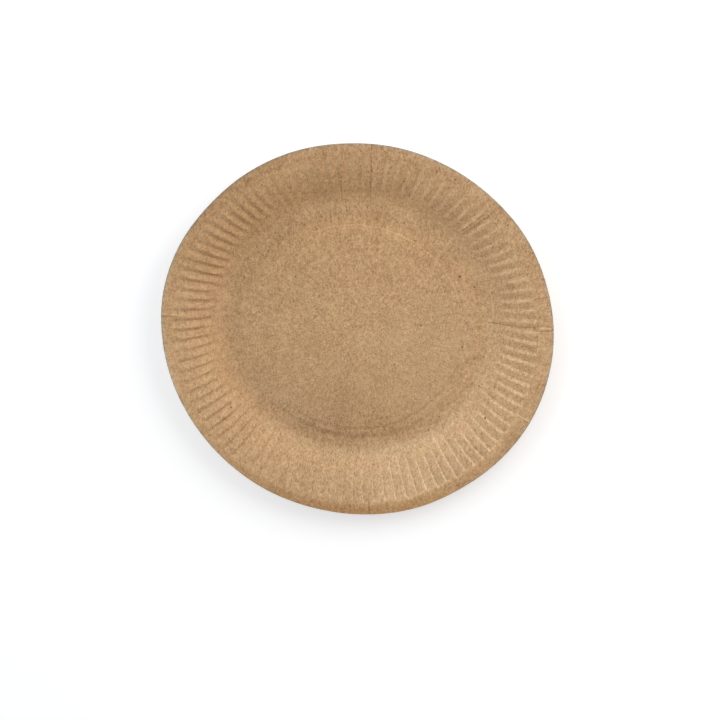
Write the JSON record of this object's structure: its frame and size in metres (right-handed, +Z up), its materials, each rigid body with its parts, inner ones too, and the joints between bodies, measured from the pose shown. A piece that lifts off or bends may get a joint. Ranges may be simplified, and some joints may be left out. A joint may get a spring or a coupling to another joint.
{
  "type": "paper plate",
  "caption": "Round kraft paper plate with a flat raised centre panel, a shallow well and a finely fluted rim, pressed in one sheet of plain board to hold food.",
  "frame": {"origin": "centre of the foot's underside, on the plate's axis", "axes": "+Z up along the plate's axis, out of the side that holds food; +Y towards the top of the picture"},
  "size_m": [0.23, 0.23, 0.0155],
  "materials": {
    "kraft_board": "uncoated brown kraft board, matte with a faint pressed sheen"
  },
  "bodies": {
    "root": {"plate": "kraft_board"}
  },
  "joints": []
}
